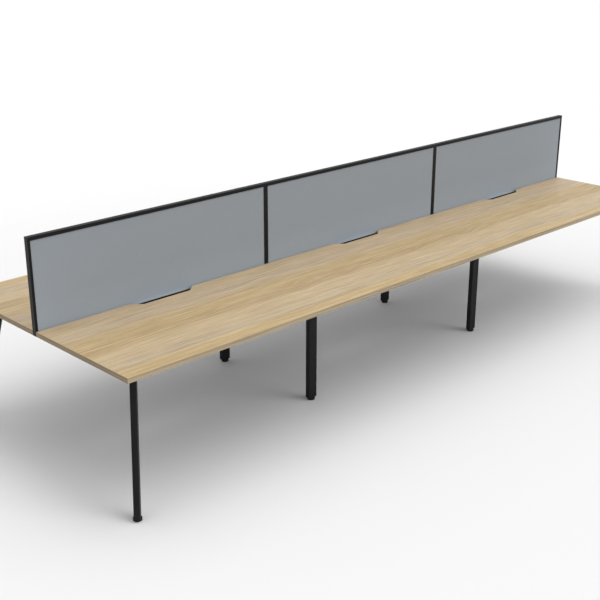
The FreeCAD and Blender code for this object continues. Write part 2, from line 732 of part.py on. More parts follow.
def make_bolt_pattern():
    bolt = turned_part("bolt_pattern", [
        ("0", "-bolt_head_height"), ("bolt_head_diameter / 2 - bolt_head_height / 4", "-bolt_head_height"),
        ("bolt_head_diameter / 2", "-bolt_head_height * 3 / 4"), ("bolt_head_diameter / 2", "0"),
        ("bolt_diameter / 2", "0"), ("bolt_diameter / 2", "bolt_length - bolt_diameter / 8"),
        ("bolt_diameter * 3 / 8", "bolt_length"), ("0", "bolt_length")])
    hex_socket(bolt, "-bolt_head_height", "bolt_socket", "bolt_socket_depth")
    return bolt


def make_insert_pattern():
    bore = "bolt_diameter / 2 + thread_clearance"
    return turned_part("insert_pattern", [
        (bore, "0"), ("insert_diameter / 2", "0"), ("insert_diameter / 2", "tube_wall"),
        ("insert_collar / 2", "tube_wall"), ("insert_collar / 2", "tube_wall + insert_collar_length"),
        ("insert_diameter / 2", "tube_wall + insert_collar_length"), ("insert_diameter / 2", "insert_length"),
        (bore, "insert_length")])


def make_frame_bolts():
    """The bolts and inserts at the rail ends and on top of the legs."""
    seats = []
    for row, side in ROWS.items():
        for bay in BAYS:
            first, last = BAY_BEAMS[bay]
            for k in (-1, 1):
                y = f"{side} * mid_leg_offset + {k} * rail_bolt_gap / 2"
                z = f"{BEAM_UNDERSIDE} + {END_PLATE_Z}"
                seats.append(((f"{BEAMS[first]} + beam_width / 2", y, z), "end_plate_thickness", 1, TOWARDS_LEFT))
                seats.append(((f"{BEAMS[last]} - beam_width / 2", y, z), "end_plate_thickness", -1, TOWARDS_RIGHT))
    leg_seats = []
    for side in ROWS.values():
        for name, x in BEAMS.items():
            leg_y = END_LEG_TOP_Y if name.startswith("end") else "mid_leg_offset"
            bolt_gap = "end_leg_bolt_gap" if name.startswith("end") else "mid_leg_bolt_gap"
            for k in (-1, 1):
                leg_seats.append((x, f"{side} * {leg_y} + {k} * {bolt_gap} / 2", BEAM_UNDERSIDE))
    bolts = [((f"{x} + {sign} * {plate}", y, z), turn) for (x, y, z), plate, sign, turn in seats]
    bolts += [((x, y, f"{z} - leg_plate_thickness"), UP) for x, y, z in leg_seats]
    inserts = [(seat, turn) for seat, _, _, turn in seats]
    inserts += [(seat, UP) for seat in leg_seats]
    copies("frame_bolts", make_bolt_pattern(), bolts)
    copies("thread_inserts", make_insert_pattern(), inserts)


def make_screws():
    """The wood screws up into the tops and the machine screws up into the screens' bottom rails."""
    shank = "wood_screw_diameter / 2"
    wood = turned_part("wood_screw_pattern", [
        ("0", "-wood_head_height"), ("wood_head_diameter / 3", "-wood_head_height"),
        ("wood_head_diameter / 2", "-wood_head_height / 3"), ("wood_head_diameter / 2", "0"), (shank, "0"),
        (shank, "wood_screw_length - wood_screw_tip"), ("0", "wood_screw_length")])
    cross_recess(wood, "-wood_head_height", "wood_recess_width", "wood_recess_length", "wood_recess_depth")
    tab_seat = f"{TOP_UNDERSIDE} - tab_thickness"
    saddle_seat = f"{TOP_UNDERSIDE} - saddle_thickness"
    places = []
    for row in ROWS:
        for bay in BAYS:
            places += [((x, y, tab_seat), UP) for x, y in (*rail_screws(row, bay), *beam_screws(row, bay))]
            places += [((x, y, saddle_seat), UP) for x, y in saddle_screws(row, bay)]
    copies("wood_screws", wood, places)
    machine = turned_part("screen_screw_pattern", [
        ("0", "-screen_head_height"), ("screen_head_diameter / 2", "-screen_head_height"),
        ("screen_head_diameter / 2", "0"), ("screen_screw_diameter / 2", "0"),
        ("screen_screw_diameter / 2", "screen_screw_length"), ("0", "screen_screw_length")])
    hex_socket(machine, "-screen_head_height", "screen_socket", "screen_socket_depth")
    copies("screen_screws", machine, [((f"{x} + {i} * saddle_screw_gap / 2", "0", saddle_seat), UP)
                                      for bay in BAYS for x in saddle_centres(bay) for i in (-1, 1)])


def make_desk():
    for row in ROWS:
        for bay in BAYS:
            make_top(row, bay)
            make_rail(row, bay)
        for end in ENDS:
            make_mid_leg(row, end)
            make_end_leg(row, end)
            make_foot(f"foot_mid_{row}_{end}", f"{ENDS[end]} * {BOUNDARY_X}", f"{ROWS[row]} * mid_leg_offset")
            make_foot(f"foot_end_{row}_{end}", f"{ENDS[end]} * {END_FOOT_X}", f"{ROWS[row]} * {END_FOOT_Y}")
    for bay in BAYS:
        make_screen_rail(bay, "top")
        make_screen_rail(bay, "bottom")
        make_stile(bay, "left")
        make_stile(bay, "right")
        make_panel(bay)
    for name in BEAMS:
        make_beam(name)
    make_bands()
    make_corner_keys()
    make_plugs()
    make_beam_caps()
    make_saddles()
    make_frame_bolts()
    make_screws()


def check_and_write():
    """Stop on any failed object or bad shape, then write one STEP file a node."""
    doc.recompute()
    failed = [item.Name for item in doc.Objects if {"Invalid", "Error"} & set(item.State)]
    if failed:
        raise RuntimeError(f"failed objects: {failed}")
    for node in nodes:
        if node.Shape.isNull() or not node.Shape.isValid():
            raise RuntimeError(f"bad shape: {node.Label}")
    os.makedirs("parts", exist_ok=True)
    for node in nodes:
        node.Shape.exportStep(f"parts/{node.Label}.step")
        print(f"{node.Label}: {len(node.Shape.Solids)} solids, {node.Shape.Volume / 1000:.2f} cm3")
    print(f"{len(nodes)} nodes")


make_desk()
check_and_write()
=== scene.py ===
"""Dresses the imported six-place bench desk, and sets it in a plain pale studio.

The desk stands in the CAD model's own frame, in metres: X runs along it, -Y is the front row's side, Z is
up and the origin is on the floor under its centre.
"""

import logging
import math
from dataclasses import dataclass, field
from enum import Enum
from itertools import product
from typing import Iterable, Sequence

import bmesh
import bpy
from mathutils import Matrix, Vector

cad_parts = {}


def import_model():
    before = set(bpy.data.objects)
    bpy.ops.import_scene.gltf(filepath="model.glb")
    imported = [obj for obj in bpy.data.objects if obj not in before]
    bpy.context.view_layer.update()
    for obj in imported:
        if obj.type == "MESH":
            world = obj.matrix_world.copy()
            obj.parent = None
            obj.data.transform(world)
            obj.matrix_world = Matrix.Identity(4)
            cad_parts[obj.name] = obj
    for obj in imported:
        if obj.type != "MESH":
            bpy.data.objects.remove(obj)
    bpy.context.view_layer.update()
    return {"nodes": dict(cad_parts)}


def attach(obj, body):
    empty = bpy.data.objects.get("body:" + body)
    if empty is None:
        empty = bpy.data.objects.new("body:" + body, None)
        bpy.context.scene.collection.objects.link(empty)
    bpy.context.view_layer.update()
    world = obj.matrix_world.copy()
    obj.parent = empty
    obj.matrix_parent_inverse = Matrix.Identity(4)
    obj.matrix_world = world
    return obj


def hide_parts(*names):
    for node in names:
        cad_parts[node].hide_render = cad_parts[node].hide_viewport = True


logging.basicConfig(level=logging.INFO, format="%(name)s: %(message)s")
log = logging.getLogger("bench_desk")

Pair = tuple[float, float]
Colour = tuple[float, float, float]
Point = tuple[float, float, float]
Material = bpy.types.Material
Shape = bmesh.types.BMesh
Socket = bpy.types.NodeSocket

SHARP_EDGE = math.radians(35)
TINY = 1e-9
UP = Vector((0, 0, 1))
# A face looks along an axis when its normal's part along that axis is more than this
FACING = 0.5


class Row(Enum):
    """The two rows of places, by the sign of Y on their side."""

    FRONT = -1
    BACK = 1


class Bay(Enum):
    """The three bays, by their number from the middle."""

    LEFT = -1
    MID = 0
    RIGHT = 1


class End(Enum):
    """The two ends of the desk, by the sign of X."""

    LEFT = -1
    RIGHT = 1


class Run(Enum):
    """Which way a profile runs, so which way its drawing lines lie."""

    ALONG = "X"
    UPRIGHT = "Z"


class LegKind(Enum):
    """Splayed end legs and upright middle legs, by how far their feet stand from the centre."""

    END = (2.219, 0.726)
    MID = (0.75, 0.379)


def words(*choices: Enum) -> str:
    """The lower-case names of choices, joined as the names of pieces join them."""
    return "_".join(choice.name.lower() for choice in choices)


class Grain(Enum):
    """The layers of the wood's grain.

    Each has its waves a metre along and across the board, its finer layers and their strength.
    """

    LINES = (0.9, 75.0, 2.5, 0.55)
    THREADS = (3.2, 190.0, 4.0, 0.72)
    STREAKS = (5.5, 60.0, 2.0, 0.6)
    PORES = (26.0, 900.0, 1.0, 0.5)


class Graph:
    """A material's node tree, with short calls for the nodes that the finishes share."""

    def __init__(self, name: str) -> None:
        """Start an empty material.

        Args:
            name: the material's name.
        """
        self.material = bpy.data.materials.new(name)
        self.material.use_nodes = True
        self.tree = self.material.node_tree
        self.tree.nodes.clear()
        self.spot = self.node("TexCoord").outputs["Object"]

    def node(self, kind: str, inputs: dict | None = None, **settings: object) -> bpy.types.Node:
        """Add one node.

        Args:
            kind: the node's type name, without its ShaderNode prefix.
            inputs: values or sockets for its inputs, by name or number.
            settings: the node's own settings.

        Returns:
            The new node.
        """
        made = self.tree.nodes.new("ShaderNode" + kind)
        for key, setting in settings.items():
            setattr(made, key, setting)
        for key, given in (inputs or {}).items():
            if isinstance(given, Socket):
                self.tree.links.new(given, made.inputs[key])
            else:
                made.inputs[key].default_value = given
        return made

    def place(self) -> tuple:
        """The X, Y and Z of the shaded point in the desk's frame, as sockets."""
        return tuple(self.node("SeparateXYZ", {0: self.spot}).outputs)

    def facing(self) -> tuple:
        """The X, Y and Z of the way that the shaded face looks, as sockets."""
        return tuple(self.node("SeparateXYZ", {0: self.node("NewGeometry").outputs["True Normal"]}).outputs)

    def math(self, operation: str, first: object, second: object = 0.0) -> Socket:
        """What a Math node makes of one or two values or sockets."""
        return self.node("Math", {0: first, 1: second}, operation=operation).outputs[0]

    def times(self, first: object, second: object) -> Socket:
        """The product of two values or sockets."""
        return self.math("MULTIPLY", first, second)

    def plus(self, first: object, second: object) -> Socket:
        """The sum of two values or sockets."""
        return self.math("ADD", first, second)

    def minus(self, first: object, second: object) -> Socket:
        """The first value or socket less the second."""
        return self.math("SUBTRACT", first, second)

    def vector(self, x: object = 0.0, y: object = 0.0, z: object = 0.0) -> Socket:
        """Three values or sockets as one vector."""
        return self.node("CombineXYZ", {0: x, 1: y, 2: z}).outputs[0]

    def noise(self, at: object, scale: float, detail: float = 2.0, roughness: float = 0.5,
              distortion: float = 0.0) -> Socket:
        """Cloudy noise from 0 to 1, with so many finer layers of such strength, and pushed about so far."""
        inputs = {"Vector": at, "Scale": scale, "Detail": detail, "Roughness": roughness}
        return self.node("TexNoise", inputs | {"Distortion": distortion}).outputs[0]

    def streaks(self, axes: Sequence, waves: Sequence[float], **layers: float) -> Socket:
        """Noise with its own number of waves a metre along each axis."""
        spot = self.vector(*(self.times(axis, wave) for axis, wave in zip(axes, waves)))
        return self.noise(spot, 1.0, **layers)

    def ramp(self, value: object, stops: Sequence[tuple[float, Colour]]) -> Socket:
        """Colours along a value, which ease into each other.

        Args:
            value: the socket that picks the place on the ramp.
            stops: pairs of place and colour, from low to high.

        Returns:
            The colour's socket.
        """
        made = self.node("ValToRGB", {0: value})
        made.color_ramp.interpolation = "EASE"
        stones = made.color_ramp.elements
        while len(stones) < len(stops):
            stones.new(0.5)
        for stone, (place, colour) in zip(stones, stops):
            stone.position = place
            stone.color = (*colour, 1.0)
        return made.outputs[0]

    def between(self, value: object, low: float, high: float) -> Socket:
        """A value stretched so that low becomes 0 and high becomes 1, held and eased between them."""
        return self.node("MapRange", {0: value, 1: low, 2: high}, interpolation_type="SMOOTHSTEP").outputs[0]

    def remap(self, value: object, target: Pair, source: Pair = (0.0, 1.0)) -> Socket:
        """A value carried evenly from one range to another, held at the ends."""
        inputs = {0: value, 1: source[0], 2: source[1], 3: target[0], 4: target[1]}
        return self.node("MapRange", inputs).outputs[0]

    def mix(self, share: object, first: object, second: object, blend: str = "MIX") -> Socket:
        """Two colours mixed.

        Args:
            share: how much of the second there is.
            first: a colour or its socket.
            second: a colour or its socket.
            blend: how the second lies on the first.

        Returns:
            The colour's socket.
        """
        first, second = (given if isinstance(given, Socket) else (*given, 1.0) for given in (first, second))
        inputs = {0: share, 6: first, 7: second}
        return self.node("Mix", inputs, data_type="RGBA", blend_type=blend).outputs[2]

    def bump(self, height: object, strength: float, depth: float, under: object = None) -> Socket:
        """The normal of a small relief, its depth in metres, which may lie on another relief's normal."""
        inputs = {"Strength": strength, "Distance": depth, "Height": height}
        return self.node("Bump", inputs if under is None else inputs | {"Normal": under}).outputs[0]

    def surface(self, **inputs: object) -> Material:
        """Finish the material with one shader.

        Args:
            inputs: the shader's values or sockets, by name with low lines for spaces, where Shine is its
                specular level.

        Returns:
            The finished material.
        """
        inputs["Specular IOR Level"] = inputs.pop("Shine", 0.5)
        shader = self.node("BsdfPrincipled", {key.replace("_", " "): given for key, given in inputs.items()})
        out = self.node("OutputMaterial")
        self.tree.links.new(shader.outputs[0], out.inputs[0])
        return self.material


@dataclass(frozen=True)
class Tint:
    """A colour that a layer of grain lends the wood.

    It goes from none at the start level to its share at the full level. A banded tint is stronger in some
    bands of the board than in others.
    """

    grain: Grain
    start: float
    full: float
    share: float
    colour: Colour
    blend: str = "MULTIPLY"
    banded: bool = False


@dataclass(frozen=True)
class OakLaminate:
    """Pale oak laminate on chipboard: broad bands of tone, fine wavy lines and short dark pores.

    Each wander is in waves a metre along and across the board, and its width in metres. The bands and the
    strength of the lines go by the place across the board, from 0 at the rear to 1 at the front.
    """

    sand: Colour = (0.512, 0.395, 0.250)
    smoke: Colour = (0.478, 0.384, 0.268)
    straw: Colour = (0.496, 0.380, 0.238)
    honey: Colour = (0.472, 0.350, 0.182)
    tan: Colour = (0.445, 0.325, 0.170)
    rose: Colour = (0.513, 0.398, 0.243)
    ash: Colour = (0.490, 0.388, 0.254)
    gold: Colour = (0.505, 0.372, 0.190)
    bands: tuple[tuple[float, str], ...] = (
        (0.00, "sand"), (0.16, "sand"), (0.225, "smoke"), (0.30, "straw"), (0.37, "honey"), (0.45, "honey"),
        (0.50, "tan"), (0.56, "tan"), (0.63, "rose"), (0.73, "rose"), (0.79, "ash"), (0.85, "ash"),
        (0.92, "gold"), (1.00, "gold"))
    line_strength: tuple[Pair, ...] = (
        (0.10, 0.45), (0.19, 1.0), (0.27, 1.0), (0.34, 0.45), (0.44, 0.45), (0.48, 0.95), (0.54, 0.7),
        (0.62, 0.35), (0.74, 0.5), (0.78, 1.0), (0.86, 1.0), (0.92, 0.55))
    tints: tuple[Tint, ...] = (
        Tint(Grain.LINES, 0.50, 0.68, 0.62, (0.64, 0.66, 0.70), banded=True),
        Tint(Grain.LINES, 0.48, 0.30, 0.38, (0.66, 0.53, 0.35), "MIX"),
        Tint(Grain.STREAKS, 0.50, 0.66, 0.30, (0.80, 0.79, 0.78)),
        Tint(Grain.STREAKS, 0.49, 0.34, 0.28, (0.64, 0.51, 0.34), "MIX"),
        Tint(Grain.THREADS, 0.44, 0.62, 0.62, (0.74, 0.68, 0.60)),
        Tint(Grain.THREADS, 0.46, 0.32, 0.35, (0.68, 0.55, 0.38), "MIX"),
        Tint(Grain.PORES, 0.58, 0.72, 0.40, (0.52, 0.44, 0.36)),
    )
    slow_wander: Point = (1.3, 4.0, 0.050)
    quick_wander: Point = (7.0, 9.0, 0.013)
    band_wander: float = 0.9
    knot: float = 0.58
    knot_length: float = 0.075
    knot_dip: float = 0.030
    knot_rear: Pair = (0.42, 0.52)
    knot_front: Pair = (0.68, 0.57)
    chip_pale: Colour = (0.50, 0.39, 0.25)
    chip_dark: Colour = (0.30, 0.20, 0.11)
    chips_a_metre: float = 320.0
    backing: Colour = (0.200, 0.198, 0.195)
    backing_fleck: Colour = (0.130, 0.128, 0.125)
    flecks_a_metre: float = 420.0
    fleck_range: Pair = (0.45, 0.75)
    roughness: Pair = (0.40, 0.52)
    thread_relief: float = 0.4
    rear: float = 0.016
    depth: float = 0.744
    underside: float = 0.705
    thickness: float = 0.025
    skin: float = 0.0008
    repeat: float = 1.5

    def drift(self, graph: Graph, along: object, across: object, share: object) -> Socket:
        """How far the grain wanders across the board, with a dip beside a knot in every bay.

        Args:
            graph: the material's node tree.
            along: the metres along the grain.
            across: the metres across the grain.
            share: the place across the board, from 0 to 1.

        Returns:
            The distance's socket, in metres.
        """
        wanders = []
        for *waves, width in (self.slow_wander, self.quick_wander):
            wanders.append(graph.times(graph.minus(graph.streaks((along, across), waves), 0.5), width))
        place = graph.math("FLOORED_MODULO", graph.plus(along, self.repeat / 2), self.repeat)
        off = graph.math("DIVIDE", graph.minus(place, self.repeat / 2 + self.knot), self.knot_length)
        bell = graph.math("EXPONENT", graph.times(graph.times(off, off), -1.0))
        near = graph.times(graph.between(share, *self.knot_rear), graph.between(share, *self.knot_front))
        dip = graph.times(graph.times(bell, near), self.knot_dip)
        return graph.minus(graph.plus(*wanders), dip)

    def figure(self, graph: Graph, along: object, across: object, share: object) -> tuple:
        """The wood's colour and relief.

        Args:
            graph: the material's node tree.
            along: the metres along the grain.
            across: the metres across the grain.
            share: the place across the board, from 0 to 1.

        Returns:
            The colour's socket, and the sockets of the threads and of the pores.
        """
        drift = self.drift(graph, along, across, share)
        moved = graph.plus(share, graph.times(drift, self.band_wander))
        toned = graph.ramp(moved, [(place, getattr(self, tone)) for place, tone in self.bands])
        strong = graph.ramp(moved, [(place, (level,) * 3) for place, level in self.line_strength])
        swung = graph.plus(across, drift)
        layers, masks = {}, {}
        for grain in Grain:
            *waves, detail, roughness = grain.value
            sideways = across if grain is Grain.PORES else swung
            layers[grain] = graph.streaks((along, sideways), waves, detail=detail, roughness=roughness)
        for tint in self.tints:
            masks[tint.grain] = graph.between(layers[tint.grain], tint.start, tint.full)
            where = graph.times(masks[tint.grain], strong) if tint.banded else masks[tint.grain]
            toned = graph.mix(graph.times(where, tint.share), toned, tint.colour, tint.blend)
        return toned, layers[Grain.THREADS], masks[Grain.PORES]

    def core(self, graph: Graph) -> Socket:
        """The chipboard that shows on a cut edge, with the laminate's thin line at its top and bottom.

        Args:
            graph: the material's node tree.

        Returns:
            The colour's socket.
        """
        places = {"Vector": graph.spot, "Scale": self.chips_a_metre, "Randomness": 1.0}
        flakes = graph.node("TexVoronoi", places).outputs["Color"]
        chips = graph.mix(graph.node("SeparateColor", {0: flakes}).outputs[0], self.chip_dark, self.chip_pale)
        half = self.thickness / 2
        from_middle = graph.math("ABSOLUTE", graph.minus(graph.place()[2], self.underside + half))
        is_skin = graph.math("GREATER_THAN", from_middle, half - self.skin)
        return graph.mix(is_skin, chips, self.tan)

    def material(self, row: Row) -> Material:
        """The laminate of one row of tops, whose figure runs on from top to top.

        Args:
            row: the row, whose bands mirror the other row's and whose lines are its own.

        Returns:
            The material.
        """
        graph = Graph(f"oak_laminate_{words(row)}")
        x, y, _ = graph.place()
        along = graph.plus(x, 2 * self.repeat * row.value)
        across = graph.math("ABSOLUTE", y)
        share = graph.math("DIVIDE", graph.minus(across, self.rear), self.depth)
        wood, threads, pores = self.figure(graph, along, across, share)
        upward = graph.facing()[2]
        is_edge = graph.math("LESS_THAN", graph.math("ABSOLUTE", upward), FACING)
        is_under = graph.math("LESS_THAN", upward, -FACING)
        fleck = graph.noise(graph.spot, self.flecks_a_metre, detail=3.0, roughness=0.7)
        colour = graph.mix(is_edge, wood, self.core(graph))
        backing = graph.mix(graph.between(fleck, *self.fleck_range), self.backing, self.backing_fleck)
        colour = graph.mix(is_under, colour, backing)
        relief = graph.minus(graph.times(threads, self.thread_relief), pores)
        return graph.surface(Base_Color=colour, Roughness=graph.remap(threads, self.roughness), Shine=0.35,
                             Normal=graph.bump(relief, strength=0.25, depth=0.00015))


@dataclass(frozen=True)
class OakEdging:
    """The matching band on the outer edges: lines of grain that run along each edge, with painted shade on the
    end faces.
    """

    pale: Colour = (0.383, 0.303, 0.195)
    deep: Colour = (0.205, 0.156, 0.100)
    pore: Colour = (0.55, 0.46, 0.38)
    upper_shade: Colour = (0.66, 0.64, 0.60)
    # painted shade on the end faces, which take less light than the long edges
    end_painted_shade: Colour = (0.69, 0.66, 0.59)
    shaded: Pair = (0.712, 0.728)
    line_waves: Pair = (1.6, 150.0)
    line_range: Pair = (0.50, 0.66)
    pore_waves: Pair = (30.0, 1100.0)
    pore_range: Pair = (0.58, 0.74)
    pore_share: float = 0.35
    shade_share: float = 0.5

    def material(self) -> Material:
        """The edge band's material, for the long edges and the ends alike."""
        graph = Graph("oak_edging")
        x, y, z = graph.place()
        is_end = graph.math("GREATER_THAN", graph.math("ABSOLUTE", graph.facing()[0]), FACING)
        along = graph.plus(graph.times(x, graph.minus(1.0, is_end)), graph.times(y, is_end))
        lines = graph.streaks((along, z), self.line_waves, detail=4.0, roughness=0.6, distortion=0.3)
        pores = graph.streaks((along, z), self.pore_waves, detail=1.0)
        is_shaded = graph.times(graph.between(z, *self.shaded), self.shade_share)
        is_pore = graph.times(graph.between(pores, *self.pore_range), self.pore_share)
        tone = graph.ramp(lines, list(zip(self.line_range, (self.pale, self.deep))))
        tone = graph.mix(is_shaded, tone, self.upper_shade, "MULTIPLY")
        # painted shade: the end faces are darkened
        tone = graph.mix(is_end, tone, self.end_painted_shade, "MULTIPLY")
        tone = graph.mix(is_pore, tone, self.pore, "MULTIPLY")
        return graph.surface(Base_Color=tone, Roughness=0.48, Shine=0.3,
                             Normal=graph.bump(pores, strength=0.2, depth=0.00012))


@dataclass(frozen=True)
class PowderCoat:
    """Black powder coat on steel tube: a fine orange-peel relief and a breath of dust."""

    base: Colour = (0.0074, 0.0074, 0.0076)
    dusty: Colour = (0.0105, 0.0105, 0.0106)
    roughness: Pair = (0.45, 0.57)
    dust: float = 9.0
    dust_range: Pair = (0.42, 0.72)
    peel: float = 750.0
    grit: float = 2600.0

    def material(self) -> Material:
        """The steel frame's material."""
        graph = Graph("black_powder_coat")
        cloud = graph.noise(graph.spot, self.dust, detail=5.0, roughness=0.6)
        colour = graph.mix(graph.between(cloud, *self.dust_range), self.base, self.dusty)
        relief = graph.bump(graph.noise(graph.spot, self.peel), strength=0.22, depth=0.00012)
        grit = graph.noise(graph.spot, self.grit, detail=1.0)
        relief = graph.bump(grit, strength=0.10, depth=0.00004, under=relief)
        return graph.surface(Base_Color=colour, Roughness=graph.remap(cloud, self.roughness), Shine=0.145,
                             Normal=relief)


@dataclass(frozen=True)
class ExtrudedProfile:
    """Satin black screen profile, with faint drawing lines along its length."""

    base: Colour = (0.0068, 0.0068, 0.0071)
    worn: Colour = (0.0105, 0.0105, 0.0108)
    roughness: Pair = (0.36, 0.50)
    slow: float = 2.0
    fast: float = 1400.0
    wear: float = 14.0
    wear_range: Pair = (0.45, 0.75)
    wear_share: float = 0.6

    def material(self, run: Run) -> Material:
        """The profile's material.

        Args:
            run: which way the profile runs.

        Returns:
            The material.
        """
        graph = Graph(f"black_profile_{words(run)}")
        waves = [self.slow if axis == run.value else self.fast for axis in "XYZ"]
        lines = graph.streaks(graph.place(), waves, roughness=0.6)
        cloud = graph.noise(graph.spot, self.wear, detail=4.0, roughness=0.6)
        is_worn = graph.times(graph.between(cloud, *self.wear_range), self.wear_share)
        colour = graph.mix(is_worn, self.base, self.worn)
        return graph.surface(Base_Color=colour, Roughness=graph.remap(lines, self.roughness), Shine=0.14,
                             Normal=graph.bump(lines, strength=0.12, depth=0.00006))


@dataclass(frozen=True)
class WovenFabric:
    """Grey screen cloth: a plain weave of two close tones of yarn, with slubs along the weft.

    The tone is painted a little paler towards the tops and a little deeper towards the upper rail: painted
    light and shade that even out the shade that the tops and the rail throw on it. Just above its foot it is
    painted paler still, against the shade between the tops' rear edges and the screen, and below that a dark
    band of painted shade runs along its foot. Heights are above the floor, in metres.
    """

    warp: Colour = (0.253, 0.279, 0.308)
    weft: Colour = (0.291, 0.321, 0.355)
    slub: Colour = (0.45, 0.47, 0.49)
    cloud: Colour = (0.27, 0.286, 0.303)
    pitch: float = 0.0016
    slub_waves: Point = (30.0, 1.0, 620.0)
    slub_range: Pair = (0.52, 0.74)
    slub_share: float = 0.20
    clouding: float = 5.0
    cloud_range: Pair = (0.40, 0.70)
    cloud_share: float = 0.10
    # painted light and shade: the cloth is painted paler low down and deeper high up, to even out the shade of
    # the tops and the upper rail
    low_painted_light: Colour = (1.12, 1.16, 1.20)
    low_painted_light_heights: Pair = (0.73, 0.90)
    high_painted_shade: Colour = (0.93, 0.93, 0.925)
    high_painted_shade_heights: Pair = (0.90, 1.18)
    # painted light just above the foot, and a dark band of painted shade along the foot, where the cloth sinks
    # into the gap behind the tops
    foot_painted_light: Colour = (1.20, 1.18, 1.14)
    foot_top: float = 0.735
    foot_painted_shade: Colour = (0.013, 0.0115, 0.0100)
    foot_painted_shade_top: float = 0.7155
    foot_painted_shade_blur: float = 0.0005

    def weave(self, graph: Graph) -> tuple:
        """The plain weave.

        Args:
            graph: the material's node tree.

        Returns:
            The socket that is 1 where the warp lies on top and 0 elsewhere, and the yarns' height.
        """
        x, _, z = graph.place()
        turn = math.pi / self.pitch
        swings = [graph.math("SINE", graph.times(axis, turn)) for axis in (x, z)]
        across, upward = (graph.math("ABSOLUTE", swing) for swing in swings)
        column, line = (graph.math("FLOOR", graph.math("DIVIDE", axis, self.pitch)) for axis in (x, z))
        over = graph.math("FLOORED_MODULO", graph.plus(column, line), 2.0)
        return over, graph.plus(graph.times(across, over), graph.times(upward, graph.minus(1.0, over)))

    def material(self) -> Material:
        """The screen cloth's material."""
        graph = Graph("grey_screen_cloth")
        x, y, z = graph.place()
        over, height = self.weave(graph)
        slub = graph.streaks((x, y, z), self.slub_waves, detail=3.0, roughness=0.6)
        cloud = graph.noise(graph.spot, self.clouding, detail=3.0)
        is_slub = graph.times(graph.between(slub, *self.slub_range), self.slub_share)
        is_cloudy = graph.times(graph.between(cloud, *self.cloud_range), self.cloud_share)
        yarn = graph.mix(over, self.weft, self.warp)
        yarn = graph.mix(is_slub, yarn, self.slub)
        yarn = graph.mix(is_cloudy, yarn, self.cloud)
        plain = (1.0, 1.0, 1.0)
        # painted light and shade: paler low down towards the tops, deeper high up towards the upper rail
        low = graph.remap(z, (1.0, 0.0), self.low_painted_light_heights)
        high = graph.remap(z, (0.0, 1.0), self.high_painted_shade_heights)
        yarn = graph.mix(1.0, yarn, graph.mix(low, plain, self.low_painted_light), "MULTIPLY")
        yarn = graph.mix(1.0, yarn, graph.mix(high, plain, self.high_painted_shade), "MULTIPLY")
        # painted light just above the foot, against the shade in the gap behind the tops
        yarn = graph.mix(graph.between(z, self.foot_top, self.foot_painted_shade_top), yarn, self.foot_painted_light, "MULTIPLY")
        # painted shade: a dark band along the cloth's foot
        blur = self.foot_painted_shade_blur
        foot_painted_shade_mask = graph.between(z, self.foot_painted_shade_top + blur, self.foot_painted_shade_top - blur)
        yarn = graph.mix(foot_painted_shade_mask, yarn, self.foot_painted_shade)
        relief = graph.bump(height, strength=0.30, depth=0.0003)
        relief = graph.bump(slub, strength=0.12, depth=0.0002, under=relief)
        return graph.surface(Base_Color=yarn, Roughness=0.92, Shine=0.15, Sheen_Weight=0.12,
                             Sheen_Roughness=0.5, Normal=relief)


@dataclass(frozen=True)
class MouldedPlastic:
    """Black moulded plastic with a fine spark-eroded texture."""

    base: Colour = (0.0080, 0.0080, 0.0082)
    scuffed: Colour = (0.0150, 0.0149, 0.0147)
    spark: float = 1900.0
    scuff: float = 60.0
    scuff_range: Pair = (0.50, 0.78)

    def material(self) -> Material:
        """The feet's, plugs' and caps' material."""
        graph = Graph("black_moulded_plastic")
        spark = graph.noise(graph.spot, self.spark, roughness=0.6)
        scuff = graph.noise(graph.spot, self.scuff, detail=5.0, roughness=0.7)
        colour = graph.mix(graph.between(scuff, *self.scuff_range), self.base, self.scuffed)
        return graph.surface(Base_Color=colour, Roughness=0.50, Shine=0.20,
                             Normal=graph.bump(spark, strength=0.25, depth=0.00006))


@dataclass(frozen=True)
class ZincPlate:
    """Bright zinc plate on screws, bolts and keys, a little cloudy."""

    bright: Colour = (0.66, 0.67, 0.67)
    cloudy: Colour = (0.50, 0.50, 0.47)
    roughness: Pair = (0.26, 0.44)
    clouding: float = 160.0
    cloud_range: Pair = (0.40, 0.66)
    grain: float = 1200.0

    def material(self) -> Material:
        """The fasteners' material."""
        graph = Graph("zinc_plate")
        cloud = graph.noise(graph.spot, self.clouding, detail=4.0, roughness=0.65)
        colour = graph.mix(graph.between(cloud, *self.cloud_range), self.bright, self.cloudy)
        relief = graph.bump(graph.noise(graph.spot, self.grain), strength=0.08, depth=0.00003)
        return graph.surface(Base_Color=colour, Metallic=1.0, Roughness=graph.remap(cloud, self.roughness),
                             Normal=relief)


@dataclass(frozen=True)
class FibreBoard:
    """Soft brown fibreboard, which the cloth is stretched over."""

    pale: Colour = (0.46, 0.35, 0.23)
    dark: Colour = (0.30, 0.21, 0.125)
    waves: Point = (380.0, 900.0, 620.0)
    fibre_range: Pair = (0.34, 0.66)

    def material(self) -> Material:
        """The screens' core boards' material."""
        graph = Graph("fibre_board")
        fibres = graph.streaks(graph.place(), self.waves, detail=4.0, roughness=0.7)
        colour = graph.ramp(fibres, list(zip(self.fibre_range, (self.dark, self.pale))))
        return graph.surface(Base_Color=colour, Roughness=0.9, Shine=0.2,
                             Normal=graph.bump(fibres, strength=0.3, depth=0.0002))


@dataclass
class Finishes:
    """Every finish on the desk, each made once."""

    edging: Material = field(default_factory=OakEdging().material)
    coat: Material = field(default_factory=PowderCoat().material)
    cloth: Material = field(default_factory=WovenFabric().material)
    plastic: Material = field(default_factory=MouldedPlastic().material)
    zinc: Material = field(default_factory=ZincPlate().material)
    board: Material = field(default_factory=FibreBoard().material)
    profile: dict[Run, Material] = field(
        default_factory=lambda: {run: ExtrudedProfile().material(run) for run in Run})


